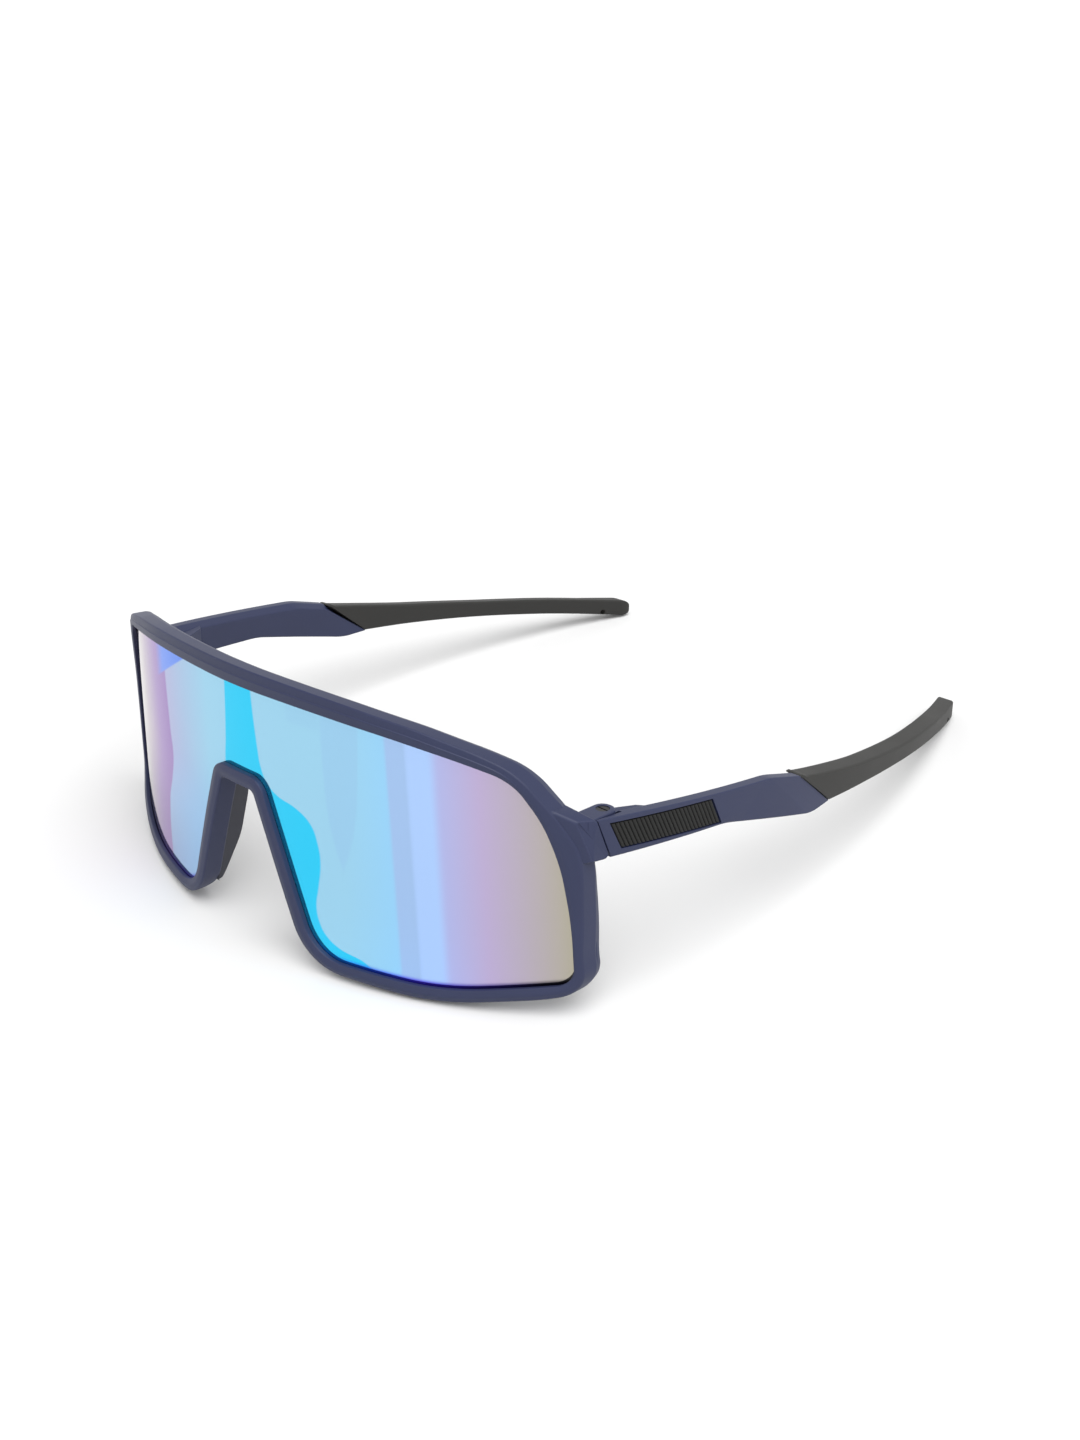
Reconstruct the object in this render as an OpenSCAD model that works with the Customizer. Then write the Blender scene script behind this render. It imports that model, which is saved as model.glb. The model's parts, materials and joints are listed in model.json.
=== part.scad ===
// Wraparound sport sunglasses: one shield lens in a full rim, with two folding temples.
// All shapes are drawn as worn: +X is the wearer's left, +Y runs back along the temples, and
// height 0 is the level of the hinges. The whole object is then settled onto its rim and tips.

/* [Lens opening] */
// Half width of the lens opening, at its lower outer corner
opening_half_w = 65.3; // [63:0.1:69]
// Half width of the lens opening, at its upper outer corner
opening_brow_half_w = 60; // [57:0.1:62]
// Height of the top of the lens opening over the hinge level, at the centre
opening_top = 12.3; // [10:0.1:16]
// Fall of the top edge from the centre to the corner
brow_fall = 3.7; // [1:0.1:5]
// Depth of the lens opening under the hinge level
opening_depth = 36.8; // [30:0.1:46]
// Half width of the nose arch, at its top
arch_half_w = 8.4; // [7:0.1:10]
// Depth of the nose arch's top under the hinge level
arch_depth = 4.2; // [3:0.1:7]
// Half width between the nose legs, at their lower ends
leg_half_w = 19.6; // [17.5:0.1:22]

/* [Shield lens] */
// Radius of the lens's front face
lens_r = 108; // [104:1:118]
// Thickness of the lens
lens_t = 2; // [1.6:0.1:2.4]
// How far the lens edge reaches into the rim
lens_bite = 1.5; // [1:0.1:1.8]
// Gap between the lens and its groove
lens_play = 0.05; // [0.03:0.01:0.1]

/* [Rim] */
// Height of the brow bar above the opening
brow_h = 4.2; // [3.6:0.1:6]
// Width of the rim beside the opening
side_w = 2.6; // [2.4:0.1:3]
// Height of the rim under the opening
sill_h = 3.1; // [2.6:0.1:4.5]
// Width of the rim around the nose
nose_w = 2.8; // [2.4:0.1:3.2]
// Thickness of the lip in front of the lens
front_lip = 1.3; // [1:0.1:1.6]
// Thickness of the lip behind the lens
back_lip = 1.3; // [1:0.1:1.6]

/* [Nose pads] */
// Length of a pad along the nose leg
pad_l = 24; // [18:0.5:25]
// How far a pad stands back from the rim
pad_reach = 6.4; // [5.5:0.1:8]
// Thickness of a pad
pad_t = 2.4; // [2.2:0.1:2.8]
// Angle by which the pads open towards the face
pad_flare = 18; // [10:1:24]
// Thickness of the tab on the rim that holds a pad
tab_t = 0.9; // [0.7:0.1:1.1]

/* [Temples] */
// Greatest half width over the temples
temple_half_w = 71.2; // [70.8:0.1:74]
// Distance of the temples' widest point behind the lens's front
widest_y = 69.5; // [66:0.5:73]
// Radius of a temple's outer face, seen from above
temple_r = 230; // [222:1:260]
// Thickness of a temple
temple_t = 3.6; // [3.2:0.1:4]
// Distance of the temple tips' ends behind the lens's front
temple_end = 163; // [150:0.5:175]
// Extra thickness of the soft tip over the temple, on each face
tip_swell = 0.3; // [0.1:0.05:0.5]
// Radius of the cord hole near the end of each tip
cord_hole_r = 0.7; // [0.5:0.05:0.9]

/* [Hinges] */
// Distance of the hinge axes behind the lens's front
hinge_y = 28.4; // [28.2:0.1:29.4]
// Radius of the hinge lugs
lug_r = 2.1; // [1.9:0.05:2.3]
// Thickness of the temple wall that covers the lugs
cover_t = 1.1; // [1:0.05:1.3]
// Height of the upper lug
upper_lug_h = 1.9; // [1.7:0.1:2.2]
// Height of the temple's middle lug
middle_lug_h = 3.1; // [2.6:0.1:3.4]
// Radius of the screw's shank
screw_r = 0.7; // [0.5:0.05:0.8]
// Radius of the screw's head
head_r = 1.2; // [1.05:0.05:1.3]
// Running gap around the screw
screw_play = 0.05; // [0.02:0.01:0.1]
// Gap between the lugs, and around them
lug_play = 0.15; // [0.12:0.01:0.25]

/* [Grip inlays] */
// Length of an inlay along the temple
inlay_l = 23.2; // [15:0.1:24]
// Height of an inlay
inlay_h = 5.6; // [4:0.1:6]
// Depth of the inlay's pocket
pocket_depth = 0.5; // [0.4:0.05:0.6]
// Gap around an inlay
inlay_play = 0.1; // [0.05:0.01:0.2]

/* [Hidden] */
$fn = 96;

frame_color = "#454d66";
tip_color = "#3b3a38";
steel_color = "#b9bcc2";

// Large enough to cut or span everything
span = 400;

// ---- outlines -------------------------------------------------------------------------------

// A closed outline is a list of corners [x, z, radius], clockwise. An edge runs from its corner to
// the next one.
function flat(corner) = [corner[0], corner[1]];
function unit(v) = v / norm(v);
function left_of(v) = [-v[1], v[0]];
function turn_of(a, b) = atan2(a[0] * b[1] - a[1] * b[0], a[0] * b[0] + a[1] * b[1]);
function heading(c, i) = unit(flat(c[(i + 1) % len(c)]) - flat(c[i]));
function before(c, i) = (i + len(c) - 1) % len(c);

// The corner where two edges meet once each has moved outwards by its own amount
function moved_corner(p, n1, g1, n2, g2) =
    let(det = n1[0] * n2[1] - n1[1] * n2[0])
    p + [g1 * n2[1] - g2 * n1[1], n1[0] * g2 - n2[0] * g1] / det;

// The outline whose edge i has moved outwards by grow[i]: outer rounds grow and inner rounds shrink
function grown(c, grow) = [
    for (i = [0:len(c) - 1])
        let(
            d1 = heading(c, before(c, i)),
            d2 = heading(c, i),
            g1 = grow[before(c, i)],
            g2 = grow[i],
            q = moved_corner(flat(c[i]), left_of(d1), g1, left_of(d2), g2),
            r = turn_of(d1, d2) < 0 ? c[i][2] + max(g1, g2) : c[i][2] - max(g1, g2)
        )
        [q[0], q[1], max(r, 0.4)]
];

// Points along the arc that rounds one corner, close enough to keep within arc_error of it
arc_error = 0.03;
function corner_arc(p, r, d1, d2) =
    let(
        turn = turn_of(d1, d2),
        side = sign(turn),
        start = p - d1 * r * tan(abs(turn) / 2),
        centre = start + side * left_of(d1) * r,
        steps = max(2, ceil(abs(turn) / (2 * acos(1 - min(arc_error / r, 0.02)))))
    )
    [
        for (k = [0:steps])
            let(a = turn * k / steps, v = -side * left_of(d1) * r)
            centre + [v[0] * cos(a) - v[1] * sin(a), v[0] * sin(a) + v[1] * cos(a)]
    ];

function rounded(c) = [
    for (i = [0:len(c) - 1])
        each corner_arc(flat(c[i]), c[i][2], heading(c, before(c, i)), heading(c, i))
];

// Right half of the lens opening, from the middle of the brow round to the top of the nose arch
half_opening = [
    [0, opening_top, 350],
    [opening_brow_half_w, opening_top - brow_fall, 16],
    [opening_half_w, 4.8 - opening_depth, 3.6],
    [44, 0.2 - opening_depth, 60],
    [leg_half_w, -0.2 - opening_depth, 7.5],
    [arch_half_w + 3, -arch_depth - 11.3, 50],
    [arch_half_w, -arch_depth, 4.5]
];
opening = concat(
    half_opening,
    [for (i = [len(half_opening) - 1:-1:1]) [-half_opening[i][0], half_opening[i][1], half_opening[i][2]]]
);
half_rim = [brow_h, side_w, sill_h, sill_h, nose_w, nose_w];
rim_grow = concat(half_rim, [nose_w], [for (i = [len(half_rim) - 1:-1:0]) half_rim[i]]);
rim_outline = grown(opening, rim_grow);

function grown_evenly(c, g) = grown(c, [for (i = [0:len(c) - 1]) g]);

// ---- places ---------------------------------------------------------------------------------

rim_front_r = lens_r + front_lip;
rim_back_r = lens_r - lens_t - back_lip;

// Height of the hinge's parts, from the top down
lug_top = -1;
upper_lug_z = lug_top - upper_lug_h;
middle_top = upper_lug_z - lug_play;
middle_z = middle_top - middle_lug_h;
lower_top = middle_z - lug_play;
temple_root_z = -8.9;
lower_lug_z = temple_root_z + 0.1;
lower_lug_h = lower_top - lower_lug_z;

temple_axis_x = temple_half_w - temple_r;
function temple_x(y) = temple_axis_x + sqrt(pow(temple_r, 2) - pow(y - widest_y, 2));
hinge_x = temple_x(hinge_y) - cover_t - lug_play - lug_r;
cover_x = hinge_x + lug_r + lug_play;
root_y = hinge_y + lug_r + 2 * lug_play;
end_piece_back = hinge_y - lug_r - 0.4;
bore_r = screw_r + screw_play;
head_h = 0.8;
insert_r = 1.2;

// The slanted joint between the end piece and the temple, as [y, z] at its top and its foot
joint_gap = 0.15;
joint_top = [hinge_y - 4.1, lug_top];
joint_foot = [hinge_y - 1, temple_root_z];

// The slanted joint between the temple and its tip
seam_top = [75.5, -6.4];
seam_foot = [86.5, -16.3];
seam_gap = 0.05;

// Side view of a temple, as [y, z, radius], clockwise
temple_side = [
    [joint_top[0], joint_top[1], 0.1],
    [63.5, -4.2, 14],
    [seam_top[0], seam_top[1], 0.1],
    [seam_foot[0], seam_foot[1], 0.1],
    [79.5, -16.5, 5],
    [56, -10.4, 8],
    [joint_foot[0], joint_foot[1], 0.1]
];

// Side view of a tip: its fall is a share of its length behind the seam
tip_fall = 0.172;
tip_end_h = 4.9;
function tip_top(y) = seam_top[1] - tip_fall * (y - seam_top[0]);
tip_side = [
    [seam_top[0] + seam_gap, seam_top[1], 0.1],
    [temple_end, tip_top(temple_end), 2.4],
    [temple_end - 0.6, tip_top(temple_end) - tip_end_h, 2.2],
    [118, -19.6, 90],
    [seam_foot[0] + seam_gap, seam_foot[1], 0.1]
];

// The tongue of the temple inside the tip, as a side view
tongue_l = 34;
tongue_t = 1.6;
tongue_h = 3.2;
function tongue_side(g) = [
    [seam_top[0] + 3, -10.4 + g, 0.2],
    [seam_top[0] + tongue_l + g, -14.6 + g, 0.8],
    [seam_top[0] + tongue_l + g, -14.6 - tongue_h - g, 0.8],
    [seam_top[0] + 3, -10.4 - tongue_h - g, 0.2]
];

cord_hole_y = temple_end - 8.4;
cord_hole_z = tip_top(cord_hole_y) - 3.9;

// The grip inlay: its ends are slanted like the joint
inlay_start = [joint_top[0] + 2.9, lug_top - 1.5];
inlay_rise = [-2.1, -9.3] / norm([-2.1, -9.3]);
inlay_run = [cos(5), -sin(5)];
inlay_drop = inlay_h * [0.43, -0.9];
function inlay_side(g) =
    let(
        a = inlay_start,
        b = a + inlay_l * inlay_run,
        corners = [
            [a[0], a[1], 0.3],
            [b[0], b[1], 0.3],
            [b[0] + inlay_drop[0], b[1] + inlay_drop[1], 0.3],
            [a[0] + inlay_drop[0], a[1] + inlay_drop[1], 0.3]
        ]
    )
    grown_evenly(corners, g);

// ---- settling -------------------------------------------------------------------------------

// Points of the rim's front and back faces, as [y, z]
rim_points = rounded(rim_outline);
function rim_y(r, x) = lens_r - sqrt(pow(r, 2) - pow(x, 2));
rim_yz = [for (p = rim_points) each [[rim_y(rim_front_r, p[0]), p[1]], [rim_y(rim_back_r, p[0]), p[1]]]];
tip_yz = rounded(tip_side);
function tilted_y(p, a) = p[0] * cos(a) + p[1] * sin(a);
function tilted_z(p, a) = p[1] * cos(a) - p[0] * sin(a);
function lowest(points, a) = min([for (p = points) tilted_z(p, a)]);
// The pitch at which the rim and the tips are equally low, found in a few steps
function settled(a, steps) =
    steps == 0 ? a :
    settled(a + atan((lowest(tip_yz, a) - lowest(rim_yz, a)) / temple_end), steps - 1);
rest_pitch = settled(4, 6);
rest_lift = -lowest(rim_yz, rest_pitch);
rest_front = min([for (p = rim_yz) tilted_y(p, rest_pitch)]);
rest_back = max([for (p = tip_yz) tilted_y(p, rest_pitch)]);
rest_y = -(rest_front + rest_back) / 2;

module settled_down() {
    translate([0, rest_y, rest_lift]) rotate([-rest_pitch, 0, 0]) children();
}

// ---- helpers --------------------------------------------------------------------------------

// A solid of an [x, z] outline, from y0 to y1
module front_view(corners, y0, y1) {
    translate([0, y1, 0]) rotate([90, 0, 0]) linear_extrude(y1 - y0) polygon(rounded(corners));
}

// A solid of a [y, z] outline, from x0 to x1
module side_view(corners, x0, x1) {
    translate([x0, 0, 0]) rotate([90, 0, 90]) linear_extrude(x1 - x0) polygon(rounded(corners));
}

// Everything between two radii about the lens's upright axis
module lens_shell(r_out, r_in) {
    translate([0, lens_r, -span / 2]) difference() {
        cylinder(r = r_out, h = span);
        translate([0, 0, -1]) cylinder(r = r_in, h = span + 2);
    }
}

// Everything within one radius of the lens's axis
module behind_radius(r) {
    translate([0, lens_r, -span / 2]) cylinder(r = r, h = span);
}

// A curved wall that follows the temple, between two depths under its outer face
module temple_shell(outer, inner) {
    translate([temple_axis_x, widest_y, -span / 2]) difference() {
        cylinder(r = temple_r - outer, h = span);
        translate([0, 0, -1]) cylinder(r = temple_r - inner, h = span + 2);
    }
}

// An upright rod on the hinge axis, from z0 up to z1
module on_hinge(r, z0, z1) {
    translate([hinge_x, hinge_y, z0]) cylinder(r = r, h = z1 - z0, $fn = 48);
}

module right() {
    mirror([1, 0, 0]) children();
}

// The nose leg's own axes: Z up along the leg, X away from the nose
leg_low = rim_outline[4];
leg_high = rim_outline[5];
leg_tilt = -atan2(leg_low[0] - leg_high[0], leg_high[1] - leg_low[1]);
module on_leg() {
    translate([leg_high[0], rim_y(rim_back_r, leg_high[0] + 4), leg_high[1]])
        rotate([0, leg_tilt, 0]) rotate([0, 0, -pad_flare]) children();
}
// Height of the pad's top over the bend in the nose leg
pad_rise = 3.5;

// ---- front ----------------------------------------------------------------------------------

// A plain side view of the end piece, up to the slanted joint
end_piece_side = [
    [15, 2.4, 0.2],
    [20.5, 1, 2],
    [joint_top[0] - joint_gap, joint_top[1], 0.1],
    [joint_foot[0] - joint_gap, joint_foot[1], 0.1],
    [15, temple_root_z - 1.2, 0.2]
];

module end_piece() {
    intersection() {
        difference() {
            side_view(end_piece_side, opening_brow_half_w + 1.4, temple_half_w);
            translate([0, end_piece_back, -span / 2]) cube([cover_x, span, span]);
        }
        translate([temple_axis_x, widest_y, -span / 2]) cylinder(r = temple_r, h = span);
    }
}

module lug(z0, z1) {
    on_hinge(lug_r, z0, z1);
    translate([hinge_x - lug_r, end_piece_back - 1, z0])
        cube([2 * lug_r, hinge_y - end_piece_back + 1, z1 - z0]);
}

module front_lugs() {
    difference() {
        union() {
            lug(upper_lug_z, lug_top);
            lug(lower_lug_z, lower_top);
        }
        on_hinge(bore_r, middle_z, lug_top + 1);
        on_hinge(head_r + screw_play, lug_top - head_h - 0.1, lug_top + 1);
        on_hinge(insert_r, lower_lug_z - 1, lower_top + 1);
    }
}

module pad_tab(g) {
    intersection() {
        behind_radius(rim_back_r + back_lip / 2);
        on_leg() translate([(pad_t - tab_t) / 2 - g, -5, pad_rise - pad_l + 5 - g])
            cube([tab_t + 2 * g, 8.5 + g, pad_l - 10 + 2 * g]);
    }
}

// The rim and the end pieces, within the rim's front face
module rim_block() {
    intersection() {
        behind_radius(rim_front_r);
        union() {
            difference() {
                front_view(rim_outline, -5, 40);
                behind_radius(rim_back_r);
            }
            end_piece();
            right() end_piece();
        }
    }
}

module front_frame() {
    color(frame_color) settled_down() union() {
        difference() {
            rim_block();
            front_view(opening, -6, 41);
            intersection() {
                lens_shell(lens_r + lens_play, lens_r - lens_t - lens_play);
                front_view(grown_evenly(opening, lens_bite + lens_play), -6, 41);
            }
        }
        front_lugs();
        right() front_lugs();
        pad_tab(0);
        right() pad_tab(0);
    }
}

module shield_lens() {
    color("#58b8e0", 0.9) settled_down() intersection() {
        lens_shell(lens_r, lens_r - lens_t);
        front_view(grown_evenly(opening, lens_bite), -5, 60);
    }
}

// Side view of a pad in the leg's axes, as [y, z, radius]
pad_side = [
    [-4, pad_rise, 0.2],
    [pad_reach - 1.6, pad_rise, 2.4],
    [pad_reach, pad_rise - pad_l * 0.45, 12],
    [pad_reach - 3, pad_rise - pad_l, 2.4],
    [-4, pad_rise - pad_l, 0.2]
];

module nose_pad() {
    color(tip_color) difference() {
        intersection() {
            behind_radius(rim_back_r - 0.05);
            on_leg() side_view(pad_side, 0, pad_t);
        }
        pad_tab(0.05);
    }
}

module nose_pad_left() {
    settled_down() nose_pad();
}

module nose_pad_right() {
    settled_down() right() nose_pad();
}

// ---- hinge hardware -------------------------------------------------------------------------

module hinge_screw() {
    head_top = lug_top - 0.1;
    color(steel_color) difference() {
        union() {
            on_hinge(head_r, head_top - head_h, head_top);
            on_hinge(screw_r, lower_lug_z + 0.2, head_top - head_h / 2);
        }
        translate([hinge_x - head_r, hinge_y - 0.15, head_top - 0.35]) cube([2 * head_r, 0.3, 1]);
    }
}

module hinge_screw_left() {
    settled_down() hinge_screw();
}

module hinge_screw_right() {
    settled_down() right() hinge_screw();
}

// A threaded brass bush, drawn with a plain bore
module hinge_insert() {
    color("#b08d3c") difference() {
        on_hinge(insert_r, lower_lug_z, lower_top);
        on_hinge(screw_r + 0.02, lower_lug_z - 1, lower_top + 1);
    }
}

module hinge_insert_left() {
    settled_down() hinge_insert();
}

module hinge_insert_right() {
    settled_down() right() hinge_insert();
}

// ---- temples --------------------------------------------------------------------------------

// The middle lug and the boss behind it, seen from above
module middle_lug() {
    on_hinge(lug_r, middle_z, middle_top);
    translate([0, 0, middle_z]) linear_extrude(middle_lug_h) polygon([
        [hinge_x - lug_r, hinge_y],
        [hinge_x + lug_r, hinge_y],
        [cover_x, root_y + 1],
        [cover_x, root_y + 8],
        [hinge_x, root_y + 6],
        [hinge_x - lug_r, root_y + 2]
    ]);
}

module temple_arm() {
    color(frame_color) difference() {
        union() {
            difference() {
                intersection() {
                    temple_shell(0, temple_t);
                    side_view(temple_side, 40, temple_half_w + 1);
                }
                translate([0, 0, -span / 2]) cube([cover_x, root_y, span]);
            }
            middle_lug();
            intersection() {
                temple_shell((temple_t - tongue_t) / 2, (temple_t + tongue_t) / 2);
                side_view(tongue_side(0), 40, temple_half_w + 1);
            }
        }
        on_hinge(bore_r, middle_z - 1, middle_top + 1);
        intersection() {
            temple_shell(-1, pocket_depth);
            side_view(inlay_side(inlay_play), 40, temple_half_w + 2);
        }
    }
}

module temple_arm_left() {
    settled_down() temple_arm();
}

module temple_arm_right() {
    settled_down() right() temple_arm();
}

module temple_tip() {
    color(tip_color) difference() {
        intersection() {
            temple_shell(-tip_swell, temple_t + tip_swell);
            side_view(tip_side, 30, temple_half_w + 2);
        }
        intersection() {
            temple_shell((temple_t - tongue_t) / 2 - seam_gap, (temple_t + tongue_t) / 2 + seam_gap);
            side_view(tongue_side(seam_gap), 40, temple_half_w + 2);
        }
        translate([30, cord_hole_y, cord_hole_z]) rotate([0, 90, 0]) cylinder(r = cord_hole_r, h = 40, $fn = 32);
    }
}

module temple_tip_left() {
    settled_down() temple_tip();
}

module temple_tip_right() {
    settled_down() right() temple_tip();
}

module grip_inlay() {
    color("#2b2b2a") intersection() {
        temple_shell(0.1, pocket_depth - 0.02);
        side_view(inlay_side(0), 40, temple_half_w + 2);
    }
}

module grip_inlay_left() {
    settled_down() grip_inlay();
}

module grip_inlay_right() {
    settled_down() right() grip_inlay();
}

front_frame();
shield_lens();
nose_pad_left();
nose_pad_right();
temple_arm_left();
temple_arm_right();
temple_tip_left();
temple_tip_right();
grip_inlay_left();
grip_inlay_right();
hinge_screw_left();
hinge_screw_right();
hinge_insert_left();
hinge_insert_right();
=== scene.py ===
"""Wraparound sport sunglasses: the visible surfaces, their finishes and the studio.

Shapes are worked out as worn, in millimetres: x to the wearer's left, y back along the temples, z up
from the hinges. settled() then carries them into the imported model's frame, in metres.
"""

import json
import math

import bpy
import numpy as np
from bpy.props import FloatProperty, FloatVectorProperty, IntProperty, PointerProperty
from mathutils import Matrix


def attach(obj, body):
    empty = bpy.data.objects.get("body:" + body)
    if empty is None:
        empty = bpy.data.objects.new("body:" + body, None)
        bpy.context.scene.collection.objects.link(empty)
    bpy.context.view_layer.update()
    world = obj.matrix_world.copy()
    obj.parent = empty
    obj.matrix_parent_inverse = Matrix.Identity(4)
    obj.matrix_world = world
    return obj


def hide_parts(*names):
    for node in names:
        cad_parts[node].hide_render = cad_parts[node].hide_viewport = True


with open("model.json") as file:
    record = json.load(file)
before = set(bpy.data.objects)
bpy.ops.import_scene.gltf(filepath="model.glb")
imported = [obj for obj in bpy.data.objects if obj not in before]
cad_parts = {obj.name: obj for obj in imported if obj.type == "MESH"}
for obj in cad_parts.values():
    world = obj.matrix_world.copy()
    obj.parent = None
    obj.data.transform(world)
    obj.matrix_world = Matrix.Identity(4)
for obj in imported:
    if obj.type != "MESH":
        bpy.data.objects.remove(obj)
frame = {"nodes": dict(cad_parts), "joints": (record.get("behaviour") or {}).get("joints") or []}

bl_info = {
    "name": "Wraparound sport sunglasses",
    "version": (1, 0, 0),
    "blender": (4, 5, 0),
    "location": "View3D > Sidebar > Sunglasses",
    "description": "Builds the surfaces, finishes and studio of a pair of shield sunglasses",
    "category": "Object",
}

MM = 0.001
SIDES = (("left", 1), ("right", -1))

# The left hinge, as worn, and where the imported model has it
HINGE_WORN = np.array([64.148, 28.4, -4.6])
HINGE_JOINT = frame["joints"][0]
PITCH = math.atan2(HINGE_JOINT["axis"][1], HINGE_JOINT["axis"][2])
SETTLE = np.array([
    [1, 0, 0],
    [0, math.cos(PITCH), math.sin(PITCH)],
    [0, -math.sin(PITCH), math.cos(PITCH)],
])
SETTLE_SHIFT = np.array(HINGE_JOINT["pos_m"]) - MM * SETTLE @ HINGE_WORN


def settled(points):
    """Worn millimetres to the model's metres: turned by the pitch about X, then moved onto the hinge."""
    return MM * points @ SETTLE.T + SETTLE_SHIFT


# ---- sizes and colours a user would change ---------------------------------------------------

def length_of(name, description, default):
    """A length in millimetres that a user would change."""
    return FloatProperty(name=name, description=f"{description}, in mm", default=default)


def angle_of(name, description, degrees):
    """An angle that a user would change, given in degrees."""
    return FloatProperty(name=name, description=description, default=math.radians(degrees), subtype="ANGLE")


def colour_of(name, description, default):
    """A colour that a user would change."""
    words = {"name": name, "description": description}
    return FloatVectorProperty(**words, default=default, size=3, subtype="COLOR")


class LensSizes(bpy.types.PropertyGroup):
    """Sizes of the lens"""
    radius: length_of("Lens radius", "Radius of the lens's front face", 108)
    thickness: length_of("Lens thickness", "Thickness of the lens", 2)
    bite: length_of("Lens bite", "Reach of the lens into the rim", 1.3)


class RimSizes(bpy.types.PropertyGroup):
    """Sizes of the rim"""
    fullness: FloatProperty(name="Rim width", description="Width of the rim, as a share of its own", default=1)


class TempleSizes(bpy.types.PropertyGroup):
    """Sizes of the temples"""
    half_width: length_of("Half width", "Greatest half width over the temples", 71.2)
    widest: length_of("Widest point", "How far back the temples are widest", 69.5)
    radius: length_of("Plan radius", "Radius of the temple seen from above", 230)
    thickness: length_of("Thickness", "Thickness of the temple", 3.6)
    ribs: IntProperty(name="Ribs", description="Number of ribs on a grip inlay", default=26)


class Finishes(bpy.types.PropertyGroup):
    """Colours of the mouldings"""
    navy: colour_of("Frame", "Colour of the frame", (0.022, 0.028, 0.070))
    soft: colour_of("Tips", "Colour of the soft tips", (0.020, 0.0195, 0.018))
    grip: colour_of("Inlays", "Colour of the grip inlays", (0.010, 0.010, 0.0095))
    pad: colour_of("Pads", "Colour of the nose pads", (0.030, 0.031, 0.044))


class StudioSettings(bpy.types.PropertyGroup):
    """Place and lens of the camera"""
    turn: angle_of("Camera turn", "Azimuth of the camera about the wearer's upright", 44.243)
    rise: angle_of("Camera rise", "Elevation of the camera over the worn level", 22.333)
    roll: angle_of("Camera roll", "Roll of the camera", 0.517)
    distance: length_of("Camera distance", "Distance of the camera", 316.3)
    aside: length_of("Camera shift", "Sideways place of the camera", 55.03)
    above: length_of("Camera lift", "Upward place of the camera", 4.18)
    lens: length_of("Focal length", "Focal length of the camera", 43.34)


# ---- outlines and sections -------------------------------------------------------------------

BROW, SIDE, SILL, NOSE = range(4)

# Right half of the lens opening, clockwise from the middle of the brow. Each corner is
# (x, z, radius, what follows, rim width before, rim width after)
HALF_OPENING = [
    (0, 11.92, 0, BROW, 3.85, 3.85),
    (18.8, 11.92, 210, BROW, 3.75, 3.5),
    (36.6, 10.14, 125, BROW, 3.35, 3.15),
    (47.6, 8.06, 85, BROW, 2.85, 2.5),
    (56.0, 5.6, 9, SIDE, 2.1, 1.7),
    (60.4, -1.4, 25, SIDE, 2.2, 2.8),
    (63.0, -9.2, 45, SIDE, 3.8, 2.85),
    (64.7, -20.3, 95, SIDE, 2.4, 1.5),
    (65.3, -32, 3.6, SILL, 1.35, 2.5),
    (44, -36.9, 60, SILL, 2.5, 2.6),
    (18.7, -37, 9, NOSE, 2.4, 2.7),
    (11.0, -16.4, 80, NOSE, 2.8, 2.8),
    (6.6, -5.07, 4.2, NOSE, 2.8, 2.8),
]


def whole_opening():
    """The half outline and its mirror image, as one closed clockwise outline."""
    back = HALF_OPENING[:0:-1]
    kinds = [corner[3] for corner in HALF_OPENING[-2::-1]]
    return HALF_OPENING + [(-x, z, r, kind, b, a) for (x, z, r, _, a, b), kind in zip(back, kinds)]


def evened(outline, width, step=0.25, reach=22):
    """The width averaged along the closed outline with a bell-shaped weight 2 * reach steps wide."""
    gaps = np.linalg.norm(np.roll(outline, -1, 0) - outline, axis=1)
    length = np.concatenate([[0], np.cumsum(gaps)])
    even = np.arange(0, length[-1], step)
    values = np.interp(even, length, np.append(width, width[0]))
    weight = np.hanning(2 * reach + 1)
    around = np.concatenate([values[-reach:], values, values[:reach]])
    smooth = np.convolve(around, weight / weight.sum(), "valid")
    return np.interp(length[:-1], even, smooth)


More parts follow.
